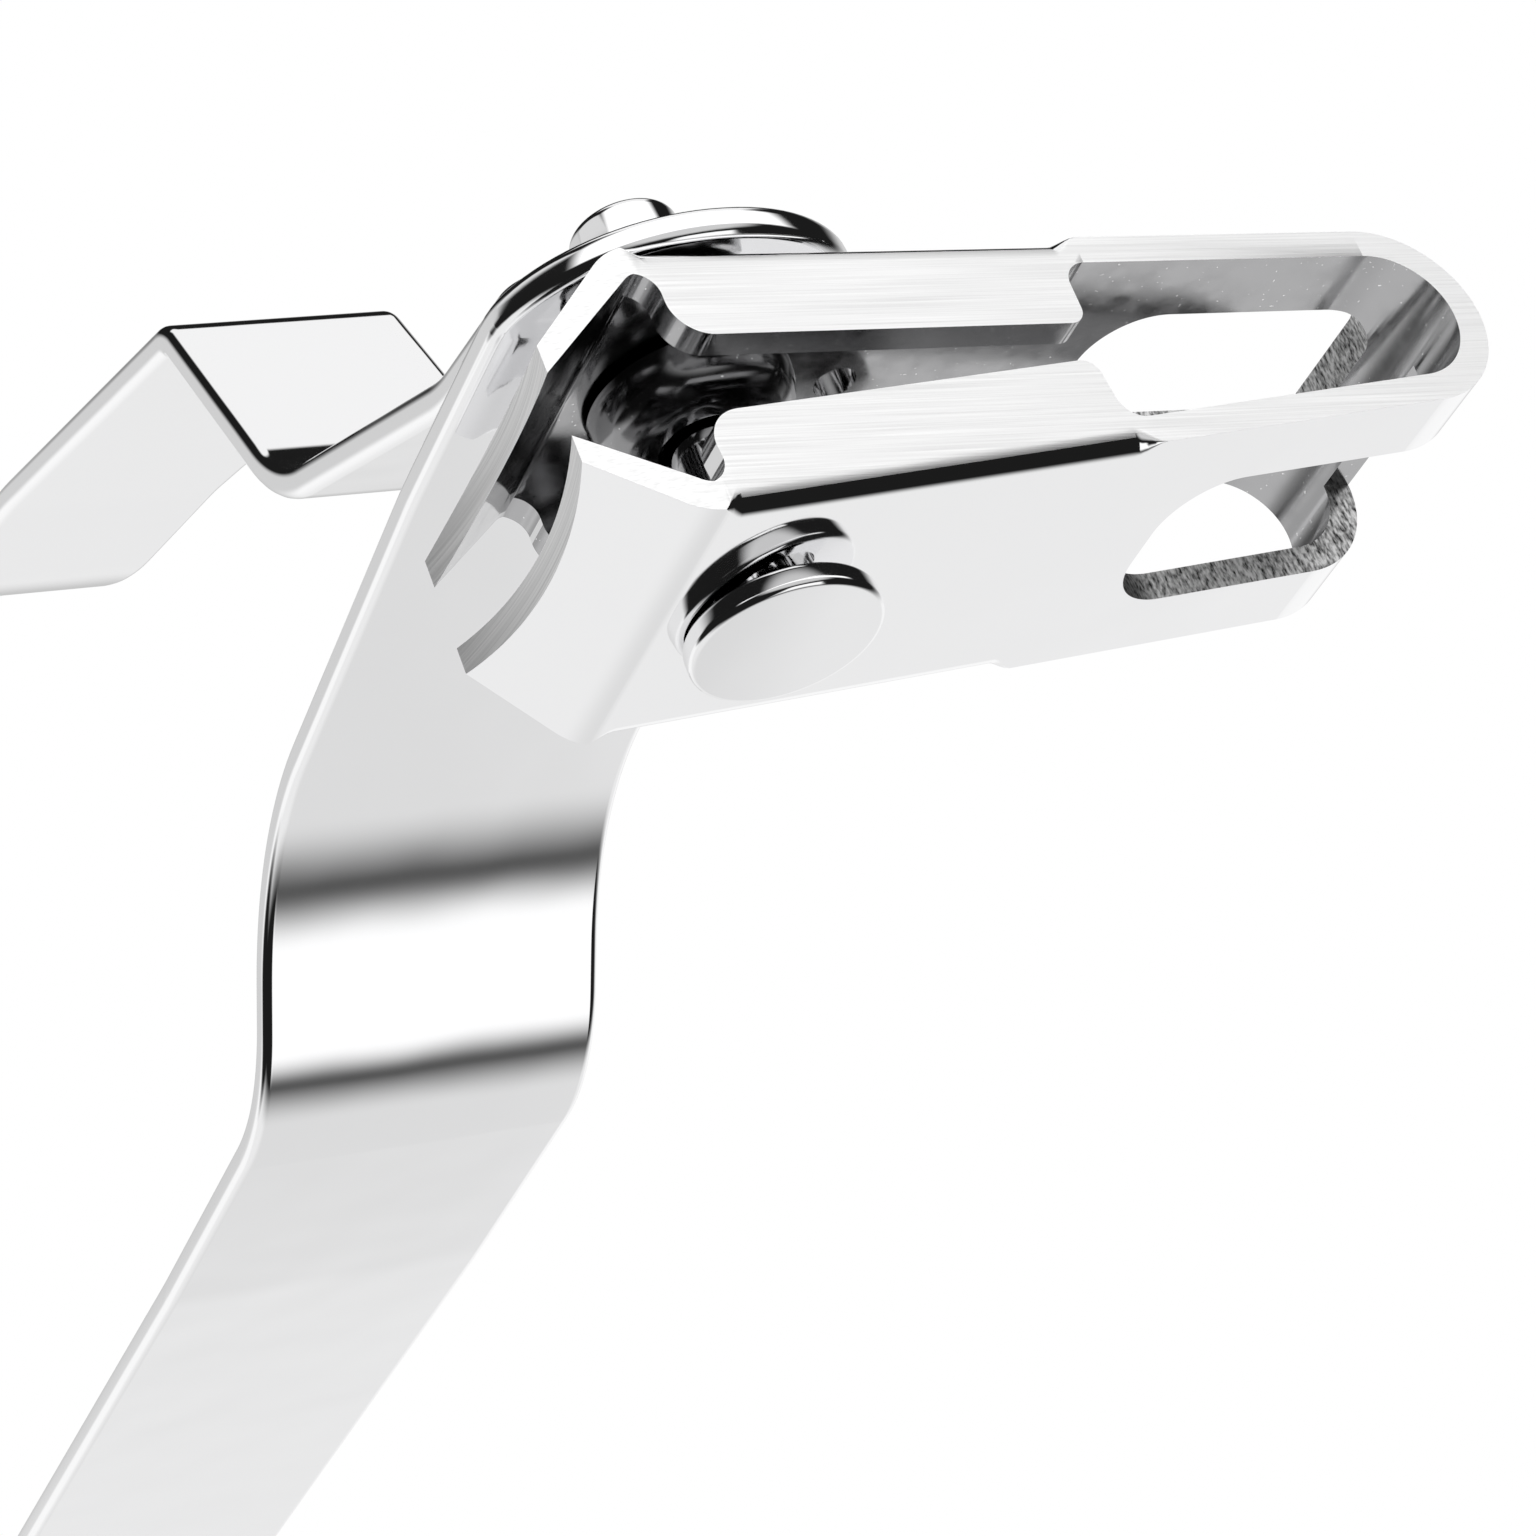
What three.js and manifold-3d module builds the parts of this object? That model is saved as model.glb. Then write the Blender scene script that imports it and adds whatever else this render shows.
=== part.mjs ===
// Swivel-head nail clipper: a folded spring-steel clipper head that turns on a
// draw pin, a base lever that carries it and a thumb lever that draws the pin up.
// Units are millimetres. +Z runs up the pin, +X runs along the levers, and the
// origin is on the pin axis at the flat underside of the pin head.
import * as THREE from "three";
import { mergeVertices } from "three/addons/utils/BufferGeometryUtils.js";
import Module from "manifold-3d";

const wasm = await Module();
wasm.setup();

// ---------- driving dimensions ----------

// The head, in its own frame: x from the cutting edges (minus) to the loop (plus).
const HEAD_TURN = -86.46; // degrees about the pin, so the loop points to -Y
const STRIP_WIDTH = 14.0;
const STRIP_THICKNESS = 1.2;
const HEAD_TOP = 12.4; // height of the upper limb's outer face
const LOOP_X = 26.35; // centre of the loop bend
const LOOP_RADIUS = 4.07; // outer radius of the loop bend
const LIMB_SPLAY = 6.05; // degrees between the limbs
const LIMB_GAP = 0.3; // where the two halves of the strip meet in the loop
const RIDGE_X = -5.55; // the strip bends in towards the cutting edges here
const JAW_SLOPE = 45; // degrees, outer face of the jaw
const JAW_INNER_SLOPE = 41.2; // degrees, the jaw thins towards its edge
const JAW_TIP_X = -9.15; // ends of the cutting edges
const JAW_TIP_WIDTH = 12.3;
const JAW_SAGITTA = 0.8; // depth of the hollow in each cutting edge
const LIP_START = -4.15; // the stiffening lips run between these two stations
const LIP_END = 12.7;
const LIP_HEIGHT = 4.0; // from the outer face of the limb
const LIP_RUN_OUT = 1.1; // reach of the fillet at each end of a lip
const LIP_BEND_RADIUS = 0.9;
const SLOT_START = 16.3;
const SLOT_WIDTH = 7.6;
const SLOT_CORNER = 2.9;
const UPPER_SLOT_END = LOOP_X + 2.2; // the lower slot runs on past the loop
const UPPER_SLOT_CORNER = 1.4;
const DIMPLE_X = 6.05;
const DIMPLE_Y = -0.35;
const DIMPLE_RADIUS = 0.85;
const DIMPLE_DEPTH = 0.5;

// The draw pin.
const PIN_RADIUS = 1.55;
const PIN_HEAD_RADIUS = 3.68;
const PIN_HEAD_HEIGHT = 1;
const PIN_HEAD_ROUND = 0.28;
const PIN_CLEARANCE = 0.7; // round the shank, so the sloping limb can rock
const NECK_RADIUS = 1.2;
const NECK_START = 14.6;
const NECK_TAPER = 0.35;
const BUTTON_RADIUS = 2.12;
const BUTTON_BASE = 17.57;
const BUTTON_RIM = 18.5;
const BUTTON_TOP = 18.9;

// The swivel bush, a shouldered hollow rivet.
const BUSH_BORE = 1.9;
const BUSH_RADIUS = 2.45;
const BUSH_FLANGE_RADIUS = 3.94;
const BUSH_FLANGE_BASE = 8.8;
const BUSH_SHOULDER_RADIUS = 3.5;
const SMALL_GAP = 0.3;

// The base lever.
const BASE_WIDTH = 15.4;
const BASE_THICKNESS = 1.25;
const BASE_UNDERSIDE = 13.5; // at the pin
const BASE_NOSE_X = -7.4;
const BASE_NOSE_WIDTH = 14; // the sides close in a little towards the nose
const BASE_NOSE_ROUND = 7.2;
const BASE_NOSE_TAPER_X = 9; // where the sides start to close in
const BASE_NOSE_DROP = 0.8; // the rounded nose dips towards the head
const BASE_LENGTH = 112; // from the pin axis to the far end
const END_TRIM = 0.4; // takes off the slanting end of the bent strip
const BASE_TAIL_ROUND = 5.5;
const BASE_HOLE_RADIUS = BUSH_RADIUS + SMALL_GAP;

// The thumb lever.
const THUMB_WIDTH = 11.1;
const THUMB_THICKNESS = 1.4;
const THUMB_LENGTH = 84;
const THUMB_TAIL_ROUND = 4;
const FORK_END = -1.6;
const FORK_RISE = 12; // degrees
const FORK_TIP_ROUND = 2.4;
const FORK_BELOW_BUTTON = 1.1; // from the button down to the fork's tip
const FORK_SLOT = 3.2; // width of the slot the pin's neck stands in
const FORK_DEPTH = 3.4; // the slot's closed end, beyond the pin axis
const HEEL_X = 4.7; // line on which the lever rocks
const HEEL_RADIUS = 1.25;

const ROUND_SEGMENTS = 40;
const BEND_STEP = 9; // degrees per facet in a bend
const CLEAR = 5; // how far a cutting solid runs past what it cuts
const DEG = Math.PI / 180;

// ---------- outlines ----------

const pt = (x, y, radius = 0) => ({ x, y, radius });

// Points of an arc about a centre, both ends included; angles in degrees.
function arc(cx, cy, radius, from, to) {
  const steps = Math.max(2, Math.ceil(Math.abs(to - from) / BEND_STEP));
  const points = [];
  for (let i = 0; i <= steps; i++) {
    const angle = (from + ((to - from) * i) / steps) * DEG;
    points.push(pt(cx + radius * Math.cos(angle), cy + radius * Math.sin(angle)));
  }
  return points;
}

// Replaces a corner by the arc of its own radius that touches both sides.
function roundedCorner(before, corner, after) {
  const a = new THREE.Vector2(before.x - corner.x, before.y - corner.y).normalize();
  const b = new THREE.Vector2(after.x - corner.x, after.y - corner.y).normalize();
  const half = Math.acos(THREE.MathUtils.clamp(a.dot(b), -1, 1)) / 2;
  const reach = corner.radius / Math.tan(half);
  const toCentre = a.clone().add(b).normalize().multiplyScalar(corner.radius / Math.sin(half));
  const cx = corner.x + toCentre.x;
  const cy = corner.y + toCentre.y;
  const start = Math.atan2(corner.y + a.y * reach - cy, corner.x + a.x * reach - cx);
  let sweep = Math.atan2(corner.y + b.y * reach - cy, corner.x + b.x * reach - cx) - start;
  if (sweep > Math.PI) sweep -= 2 * Math.PI;
  if (sweep < -Math.PI) sweep += 2 * Math.PI;
  return arc(cx, cy, corner.radius, start / DEG, (start + sweep) / DEG);
}

function rounded(points, closed) {
  const count = points.length;
  return points.flatMap((corner, i) => {
    const isEnd = !closed && (i === 0 || i === count - 1);
    if (isEnd || !corner.radius) return [corner];
    return roundedCorner(points[(i + count - 1) % count], corner, points[(i + 1) % count]);
  });
}

const roundedLoop = (points) => rounded(points, true);

// The outline of a bent strip: its upper line, and the same line moved down
// square to itself by the strip's thickness.
function stripOutline(upperLine, thickness) {
  const lowerLine = upperLine.map((point, i) => {
    const before = upperLine[Math.max(i - 1, 0)];
    const after = upperLine[Math.min(i + 1, upperLine.length - 1)];
    const length = Math.hypot(after.x - before.x, after.y - before.y);
    return pt(
      point.x + (thickness * (after.y - before.y)) / length,
      point.y - (thickness * (after.x - before.x)) / length,
    );
  });
  return [...upperLine, ...lowerLine.reverse()];
}

// ---------- solids ----------

function solid(geometry) {
  geometry.deleteAttribute("normal");
  geometry.deleteAttribute("uv");
  const merged = mergeVertices(geometry, 1e-5);
  return new wasm.Manifold(
    new wasm.Mesh({
      numProp: 3,
      vertProperties: new Float32Array(merged.attributes.position.array),
      triVerts: new Uint32Array(merged.index.array),
    }),
  );
}

function extruded(outline, depth) {
  const shape = new THREE.Shape(outline.map((p) => new THREE.Vector2(p.x, p.y)));
  return new THREE.ExtrudeGeometry(shape, { depth, bevelEnabled: false, steps: 1 });
}

// An outline in x and y, standing from one height to another.
function plate(outline, low, high) {
  return solid(extruded(outline, high - low).translate(0, 0, low));
}

// An outline in x and z, running the given width across the centre plane.
function across(outline, width, centre = 0) {
  const geometry = extruded(outline, width).rotateX(Math.PI / 2);
  return solid(geometry.translate(0, centre + width / 2, 0));
}

// An outline in y and z, running from one x station to another.
function along(outline, from, to) {
  const geometry = extruded(outline, to - from).rotateX(Math.PI / 2).rotateZ(Math.PI / 2);
  return solid(geometry.translate(from, 0, 0));
}

// A profile of radius and height turned about the pin axis.
function turned(profile) {
  const points = profile.map((p) => new THREE.Vector2(p.x, p.y));
  return solid(new THREE.LatheGeometry(points, ROUND_SEGMENTS).rotateX(Math.PI / 2));
}

function rod(radius, low, high, x = 0, y = 0) {
  return turned([pt(0, low), pt(radius, low), pt(radius, high), pt(0, high)]).translate([x, y, 0]);
}

// ---------- the clipper head ----------

// One limb in its own frame: x along the limb from the pin, z the depth in from
// the limb's outer face, so the two limbs are the same shape facing each other.
function limbBlank(reach) {
  const overshoot = 2;
  const farX = JAW_TIP_X - overshoot;
  const innerRidge = RIDGE_X + STRIP_THICKNESS * Math.tan((JAW_SLOPE / 2) * DEG);
  const outline = roundedLoop([
    pt(farX, (RIDGE_X - farX) * Math.tan(JAW_SLOPE * DEG)),
    pt(RIDGE_X, 0, 2.2),
    pt(reach, 0),
    pt(reach, STRIP_THICKNESS),
    pt(innerRidge, STRIP_THICKNESS, 0.9),
    pt(farX, STRIP_THICKNESS + (innerRidge - farX) * Math.tan(JAW_INNER_SLOPE * DEG)),
  ]);
  return across(outline, STRIP_WIDTH);
}

// The stiffening lip along each edge of a limb, folded in between two stations.
function limbLips() {
  const outline = roundedLoop([
    pt(LIP_START - LIP_RUN_OUT, STRIP_THICKNESS / 2),
    pt(LIP_END + LIP_RUN_OUT, STRIP_THICKNESS / 2),
    pt(LIP_END + LIP_RUN_OUT, STRIP_THICKNESS),
    pt(LIP_END, STRIP_THICKNESS, 1),
    pt(LIP_END, LIP_HEIGHT, 0.7),
    pt(LIP_START, LIP_HEIGHT, 1.5),
    pt(LIP_START, STRIP_THICKNESS, 1),
    pt(LIP_START - LIP_RUN_OUT, STRIP_THICKNESS),
  ]);
  const centre = (STRIP_WIDTH - STRIP_THICKNESS) / 2;
  const lip = across(outline, STRIP_THICKNESS, centre);
  return lip.add(across(outline, STRIP_THICKNESS, -centre));
}

// What the bend of a lip takes off the square corner of the strip.
function lipBendCutters() {
  const edge = STRIP_WIDTH / 2;
  const over = 0.5;
  const bend = arc(edge - LIP_BEND_RADIUS, LIP_BEND_RADIUS, LIP_BEND_RADIUS, 0, -90);
  const corner = [
    pt(edge + over, LIP_BEND_RADIUS),
    ...bend,
    pt(edge - LIP_BEND_RADIUS, -over),
    pt(edge + over, -over),
  ];
  const cutter = along(corner, LIP_START, LIP_END);
  return cutter.add(cutter.mirror([0, 1, 0]));
}

// The slot that lightens the loop, as an outline that ends at the given x.
function slotOutline(end, endCorner) {
  const half = SLOT_WIDTH / 2;
  return roundedLoop([
    pt(SLOT_START, -half, SLOT_CORNER),
    pt(end, -half, endCorner),
    pt(end, half, endCorner),
    pt(SLOT_START, half, SLOT_CORNER),
  ]);
}

// The sides of both jaws narrow towards the cutting edges.
function jawTaper() {
  const half = STRIP_WIDTH / 2;
  const tipHalf = JAW_TIP_WIDTH / 2;
  const shoulderX = RIDGE_X + 0.6;
  const lean = (half - tipHalf) / (shoulderX - JAW_TIP_X);
  const farX = JAW_TIP_X - CLEAR;
  const side = [
    pt(shoulderX, half),
    pt(shoulderX, half + CLEAR),
    pt(farX, half + CLEAR),
    pt(farX, tipHalf - CLEAR * lean),
  ];
  const cutter = plate(side, -CLEAR, HEAD_TOP + CLEAR);
  return cutter.add(cutter.mirror([0, 1, 0]));
}

// The round grinding wheel's cut that hollows both cutting edges.
function jawFront() {
  const halfTip = JAW_TIP_WIDTH / 2;
  const wheel = (halfTip ** 2 + JAW_SAGITTA ** 2) / (2 * JAW_SAGITTA);
  const centreX = JAW_TIP_X + JAW_SAGITTA - wheel;
  const half = Math.asin(halfTip / wheel) / DEG + 6;
  const far = centreX + wheel / 2;
  const edge = arc(centreX, 0, wheel, -half, half);
  const last = edge[edge.length - 1];
  return plate([...edge, pt(far, last.y), pt(far, -last.y)], -CLEAR, HEAD_TOP + CLEAR);
}

// A stretch of the loop bend, in head x and z, between two angles.
function loopBend(from, to) {
  const z = HEAD_TOP - LOOP_RADIUS;
  const outer = arc(LOOP_X, z, LOOP_RADIUS, from, to);
  const inner = arc(LOOP_X, z, LOOP_RADIUS - STRIP_THICKNESS, to, from);
  return across([...outer, ...inner], STRIP_WIDTH);
}

const halfGapAngle = LIMB_GAP / (2 * (LOOP_RADIUS - STRIP_THICKNESS) * DEG);
const loopHeight = HEAD_TOP - LOOP_RADIUS;
const lowerFaceAtPin =
  loopHeight - LOOP_RADIUS / Math.cos(LIMB_SPLAY * DEG) - LOOP_X * Math.tan(LIMB_SPLAY * DEG);

function finishedHead(part) {
  return part.subtract(jawTaper()).subtract(jawFront()).rotate([0, 0, HEAD_TURN]);
}

// The upper limb and the half of the loop above the parting.
function upperLimb() {
  let limb = limbBlank(LOOP_X).add(limbLips()).subtract(lipBendCutters());
  limb = limb.mirror([0, 0, 1]).translate([0, 0, HEAD_TOP]);
  limb = limb.add(loopBend(halfGapAngle, 90));
  const low = HEAD_TOP - LIP_HEIGHT;
  const innerFace = HEAD_TOP - STRIP_THICKNESS;
  limb = limb.subtract(plate(slotOutline(UPPER_SLOT_END, UPPER_SLOT_CORNER), low, HEAD_TOP + CLEAR));
  limb = limb.subtract(rod(BUSH_RADIUS + SMALL_GAP, low, HEAD_TOP + CLEAR));
  limb = limb.subtract(rod(DIMPLE_RADIUS, low, innerFace + DIMPLE_DEPTH, DIMPLE_X, DIMPLE_Y));
  return finishedHead(limb);
}

// The lower limb and the half of the loop below the parting, which the slot
// divides into two strands.
function lowerLimb() {
  const slopedReach = LOOP_X / Math.cos(LIMB_SPLAY * DEG) + LOOP_RADIUS * Math.tan(LIMB_SPLAY * DEG);
  let limb = limbBlank(slopedReach).add(limbLips()).subtract(lipBendCutters());
  limb = limb.rotate([0, -LIMB_SPLAY, 0]).translate([0, 0, lowerFaceAtPin]);
  limb = limb.add(loopBend(LIMB_SPLAY - 90, -halfGapAngle));
  limb = limb.subtract(plate(slotOutline(LOOP_X + 2 * LOOP_RADIUS, 0), -CLEAR, loopHeight));
  limb = limb.subtract(rod(PIN_RADIUS + PIN_CLEARANCE, -CLEAR, loopHeight));
  return finishedHead(limb);
}

// ---------- turned parts ----------

function drawPin() {
  const headEdge = arc(PIN_HEAD_RADIUS - PIN_HEAD_ROUND, PIN_HEAD_ROUND, PIN_HEAD_ROUND, -90, 0);
  const backX = PIN_HEAD_RADIUS - PIN_HEAD_ROUND;
  const headBack = arc(backX, PIN_HEAD_HEIGHT - PIN_HEAD_ROUND, PIN_HEAD_ROUND, 0, 90);
  const rimRadius = BUTTON_TOP - BUTTON_RIM;
  const buttonEdge = arc(BUTTON_RADIUS - rimRadius, BUTTON_RIM, rimRadius, 0, 90);
  return turned([
    pt(0, 0),
    ...headEdge,
    ...headBack,
    pt(PIN_RADIUS, PIN_HEAD_HEIGHT),
    pt(PIN_RADIUS, NECK_START),
    pt(NECK_RADIUS, NECK_START + NECK_TAPER),
    pt(NECK_RADIUS, BUTTON_BASE),
    pt(BUTTON_RADIUS, BUTTON_BASE),
    ...buttonEdge,
    pt(0, BUTTON_TOP),
  ]);
}

function swivelBush() {
  const flangeTop = HEAD_TOP - STRIP_THICKNESS - SMALL_GAP;
  const flangeRound = 1.9; // the flange is domed towards the shank
  const shoulderBase = HEAD_TOP + SMALL_GAP;
  const shoulderTop = BASE_UNDERSIDE - SMALL_GAP;
  const top = BASE_UNDERSIDE + BASE_THICKNESS - 0.05;
  const flangeEdge = arc(
    BUSH_FLANGE_RADIUS - flangeRound, BUSH_FLANGE_BASE + flangeRound, flangeRound, -90, 0,
  );
  return turned([
    pt(BUSH_BORE, BUSH_FLANGE_BASE),
    ...flangeEdge,
    pt(BUSH_FLANGE_RADIUS, flangeTop),
    pt(BUSH_RADIUS, flangeTop),
    pt(BUSH_RADIUS, shoulderBase),
    pt(BUSH_SHOULDER_RADIUS, shoulderBase),
    pt(BUSH_SHOULDER_RADIUS, shoulderTop),
    pt(BUSH_RADIUS, shoulderTop),
    pt(BUSH_RADIUS, top),
    pt(BUSH_BORE, top),
    pt(BUSH_BORE, BUSH_FLANGE_BASE),
  ]);
}

// ---------- levers ----------

// The plan of a lever: a rounded nose, sides that spread up to a station and
// run straight from there, and a rounded tail.
function leverPlan(nose, straightFromX, tail, width) {
  const half = width / 2;
  return roundedLoop([
    pt(nose.x, -nose.width / 2, nose.radius),
    pt(straightFromX, -half),
    pt(tail.x, -half, tail.radius),
    pt(tail.x, half, tail.radius),
    pt(straightFromX, half),
    pt(nose.x, nose.width / 2, nose.radius),
  ]);
}

// The base lever: flat over the head, a step down past the loop's sweep, then a
// long grip that rises gently. The line is its upper face.
function baseLever() {
  const top = BASE_UNDERSIDE + BASE_THICKNESS;
  const line = rounded([
    pt(BASE_NOSE_X, top - BASE_NOSE_DROP),
    pt(-1.5, top, 12),
    pt(33.2, top + 0.3, 18),
    pt(42.6, 7.1, 9),
    pt(60, 8.15, 60),
    pt(BASE_LENGTH, 12.5),
  ]);
  const strip = across(stripOutline(line, BASE_THICKNESS), BASE_WIDTH + 1);
  const nose = { x: BASE_NOSE_X, width: BASE_NOSE_WIDTH, radius: BASE_NOSE_ROUND };
  const tail = { x: BASE_LENGTH - END_TRIM, radius: BASE_TAIL_ROUND };
  const plan = leverPlan(nose, BASE_NOSE_TAPER_X, tail, BASE_WIDTH);
  const lever = strip.intersect(plate(plan, -CLEAR, top + CLEAR));
  return lever.subtract(rod(BASE_HOLE_RADIUS, HEAD_TOP, BUTTON_TOP));
}

// The thumb lever: a slotted fork under the pin's button, a heel it rocks on, a
// ramp, a steep riser and the long handle. The line is its upper face.
function thumbLever() {
  const forkTop = BUTTON_BASE - FORK_BELOW_BUTTON;
  const rampX = 7.5;
  const line = rounded([
    pt(FORK_END, forkTop),
    pt(rampX, forkTop + (rampX - FORK_END) * Math.tan(FORK_RISE * DEG), 8),
    pt(24.3, 26.6, 8),
    pt(30.2, 39.6, 2.4),
    pt(55, 49.6, 40),
    pt(70, 54.8, 26),
    pt(THUMB_LENGTH, 65.5),
  ]);
  const strip = across(stripOutline(line, THUMB_THICKNESS), THUMB_WIDTH + 1);
  const nose = { x: FORK_END, width: THUMB_WIDTH, radius: FORK_TIP_ROUND };
  const tail = { x: THUMB_LENGTH, radius: THUMB_TAIL_ROUND };
  const plan = leverPlan(nose, THUMB_LENGTH / 2, tail, THUMB_WIDTH);
  const heelZ = BASE_UNDERSIDE + BASE_THICKNESS + SMALL_GAP + HEEL_RADIUS;
  const heel = across(arc(HEEL_X, heelZ, HEEL_RADIUS, 0, 351), THUMB_WIDTH - 1);
  const slotRound = FORK_SLOT / 2 - 0.05;
  const slot = roundedLoop([
    pt(FORK_END - CLEAR, -FORK_SLOT / 2),
    pt(FORK_DEPTH, -FORK_SLOT / 2, slotRound),
    pt(FORK_DEPTH, FORK_SLOT / 2, slotRound),
    pt(FORK_END - CLEAR, FORK_SLOT / 2),
  ]);
  const lever = strip.add(heel).intersect(plate(plan, BASE_UNDERSIDE, THUMB_LENGTH));
  return lever.subtract(plate(slot, BASE_UNDERSIDE, BUTTON_TOP + CLEAR));
}

// ---------- assembly ----------

function node(name, part, color, roughness) {
  const { vertProperties, triVerts } = part.getMesh();
  const geometry = new THREE.BufferGeometry();
  geometry.setAttribute("position", new THREE.BufferAttribute(new Float32Array(vertProperties), 3));
  geometry.setIndex(new THREE.BufferAttribute(new Uint32Array(triVerts), 1));
  geometry.computeVertexNormals();
  const material = new THREE.MeshStandardMaterial({ color, metalness: 1, roughness });
  material.name = name;
  const mesh = new THREE.Mesh(geometry, material);
  mesh.name = name;
  return mesh;
}

const object = new THREE.Group();
object.name = "swivel_head_nail_clipper";
object.add(
  node("base_lever", baseLever(), 0xd9dadb, 0.12),
  node("thumb_lever", thumbLever(), 0xd6d7d9, 0.12),
  node("upper_limb", upperLimb(), 0xdcdddf, 0.15),
  node("lower_limb", lowerLimb(), 0xdcdddf, 0.15),
  node("draw_pin", drawPin(), 0xd0d1d3, 0.12),
  node("swivel_bush", swivelBush(), 0x8a8b8e, 0.25),
);

export default object;
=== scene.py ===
# Looks of the swivel-head nail clipper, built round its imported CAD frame.
# Lengths are millimetres in the helpers below and metres in Blender; the row
# frame has +Z up the pin, +X along the levers and its origin on the pin axis.
import math

import bmesh
import bpy
from mathutils import Matrix, Vector


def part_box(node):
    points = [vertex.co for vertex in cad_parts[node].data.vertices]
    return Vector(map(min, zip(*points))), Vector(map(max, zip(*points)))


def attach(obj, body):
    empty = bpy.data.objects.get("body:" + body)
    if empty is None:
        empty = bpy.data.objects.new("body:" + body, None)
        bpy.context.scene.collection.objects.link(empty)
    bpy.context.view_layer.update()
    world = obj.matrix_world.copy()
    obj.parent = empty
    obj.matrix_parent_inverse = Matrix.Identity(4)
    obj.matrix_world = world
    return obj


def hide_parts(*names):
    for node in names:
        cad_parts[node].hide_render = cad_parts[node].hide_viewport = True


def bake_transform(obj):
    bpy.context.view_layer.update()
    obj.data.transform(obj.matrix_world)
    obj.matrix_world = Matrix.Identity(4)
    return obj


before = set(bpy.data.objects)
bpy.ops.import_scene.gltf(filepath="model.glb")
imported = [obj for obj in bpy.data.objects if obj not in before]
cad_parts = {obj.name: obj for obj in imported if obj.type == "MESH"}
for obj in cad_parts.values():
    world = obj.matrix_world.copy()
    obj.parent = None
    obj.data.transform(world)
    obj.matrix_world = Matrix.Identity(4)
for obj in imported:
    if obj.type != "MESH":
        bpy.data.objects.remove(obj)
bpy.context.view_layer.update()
MM = 0.001

# ---------- sizes shared with the frame ----------

HEAD_TURN = math.radians(-86.46)  # the head's x axis, as a turn about the pin
STRIP_WIDTH = 14.0
STRIP_THICKNESS = 1.2
HEAD_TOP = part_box("upper_limb")[1].z / MM
LOOP_X = 26.35
LOOP_RADIUS = 4.07
LOOP_Z = HEAD_TOP - LOOP_RADIUS
SPLAY = math.radians(6.05)
RIDGE_X = -5.55
JAW_SLOPE = math.radians(45)
JAW_INNER_SLOPE = math.radians(41.2)
JAW_TIP_X = -9.15
JAW_TIP_WIDTH = 12.3
JAW_SAGITTA = 0.8
LIP_START = -4.15
LIP_END = 12.7
LIP_HEIGHT = 4.0
LIP_BEND = 0.9
LIP_RUN_OUT = 1.1
LIP_FILLET = 1.0  # where a lip's ends meet the strip
LIP_START_ROUND = 1.5
LIP_END_ROUND = 0.7
RIDGE_ROUND = 2.2
INNER_RIDGE_ROUND = 0.9
SHOULDER_X = RIDGE_X + 0.6  # the jaws narrow from here to their edges
SHOULDER_ROUND = 7.0
DIMPLE_X = 6.05
DIMPLE_Y = -0.35
DIMPLE_RADIUS = 0.85
DIMPLE_DEPTH = 0.5
DIMPLE_ROOM = 1.3  # how far its cutter stands clear of the inner face
WHEEL_SWEEP = 40  # degrees either way, of the wheel that hollows the jaws
SLOT_START = 16.3
SLOT_WIDTH = 7.6
SLOT_CORNER = 2.9
UPPER_SLOT_END = LOOP_X + 2.2
UPPER_SLOT_CORNER = 1.4
LOWER_SLOT_END = LOOP_X + 2 * LOOP_RADIUS  # runs out through the loop
LOWER_SLOT_CORNER = 0.1
SMALL_GAP = 0.3
PIN_RADIUS = 1.55
PIN_HEAD_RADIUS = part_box("draw_pin")[1].x / MM
PIN_HEAD_HEIGHT = 1.0
PIN_HEAD_ROUND = 0.28
PIN_CLEARANCE = 0.7  # round the shank, so the sloping limb can rock
PIN_MIDDLE = 0.05  # the turned pin's ends close on a ring this small
NECK_RADIUS = 1.2
NECK_START = 14.6
NECK_TAPER = 0.35
BUTTON_RADIUS = 2.12
BUTTON_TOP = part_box("draw_pin")[1].z / MM
BUTTON_RIM = BUTTON_TOP - 0.4
BUTTON_BASE = BUTTON_TOP - 1.33
BUSH_BORE = 1.9
BUSH_RADIUS = 2.45
BUSH_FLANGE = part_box("swivel_bush")[1].x / MM
BUSH_FLANGE_ROUND = 1.9
BUSH_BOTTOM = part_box("swivel_bush")[0].z / MM
BUSH_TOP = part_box("swivel_bush")[1].z / MM
BUSH_SHOULDER = 3.5
BUSH_HOLE = BUSH_RADIUS + SMALL_GAP
BASE_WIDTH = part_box("base_lever")[1].y * 2 / MM
BASE_THICKNESS = 1.25
BASE_TOP = 14.75
BASE_NOSE_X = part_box("base_lever")[0].x / MM
BASE_NOSE_HALF = 7.0
BASE_NOSE_ROUND = 7.2
BASE_NOSE_DROP = 0.8
BASE_TAPER_X = 9.0
BASE_TAPER_ROUND = 40.0
BASE_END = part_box("base_lever")[1].x / MM
BASE_OVERRUN = 0.3  # the line's end lies past the trimmed end of the strip
BASE_TAIL_ROUND = 5.5
BASE_EDGE = 0.42
END_TRIM = 0.4  # takes off the slanting end of a bent strip
THUMB_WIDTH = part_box("thumb_lever")[1].y * 2 / MM
THUMB_THICKNESS = 1.4
THUMB_TAIL_ROUND = 4.0
THUMB_EDGE = 0.55
FORK_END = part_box("thumb_lever")[0].x / MM
FORK_TOP = 16.47
FORK_SLOPE = math.tan(math.radians(12))
FORK_SLOT = 3.2
FORK_DEPTH = 3.4
FORK_TIP_ROUND = 2.4
FORK_CORNER = 0.6  # has to stay larger than THUMB_EDGE
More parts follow.
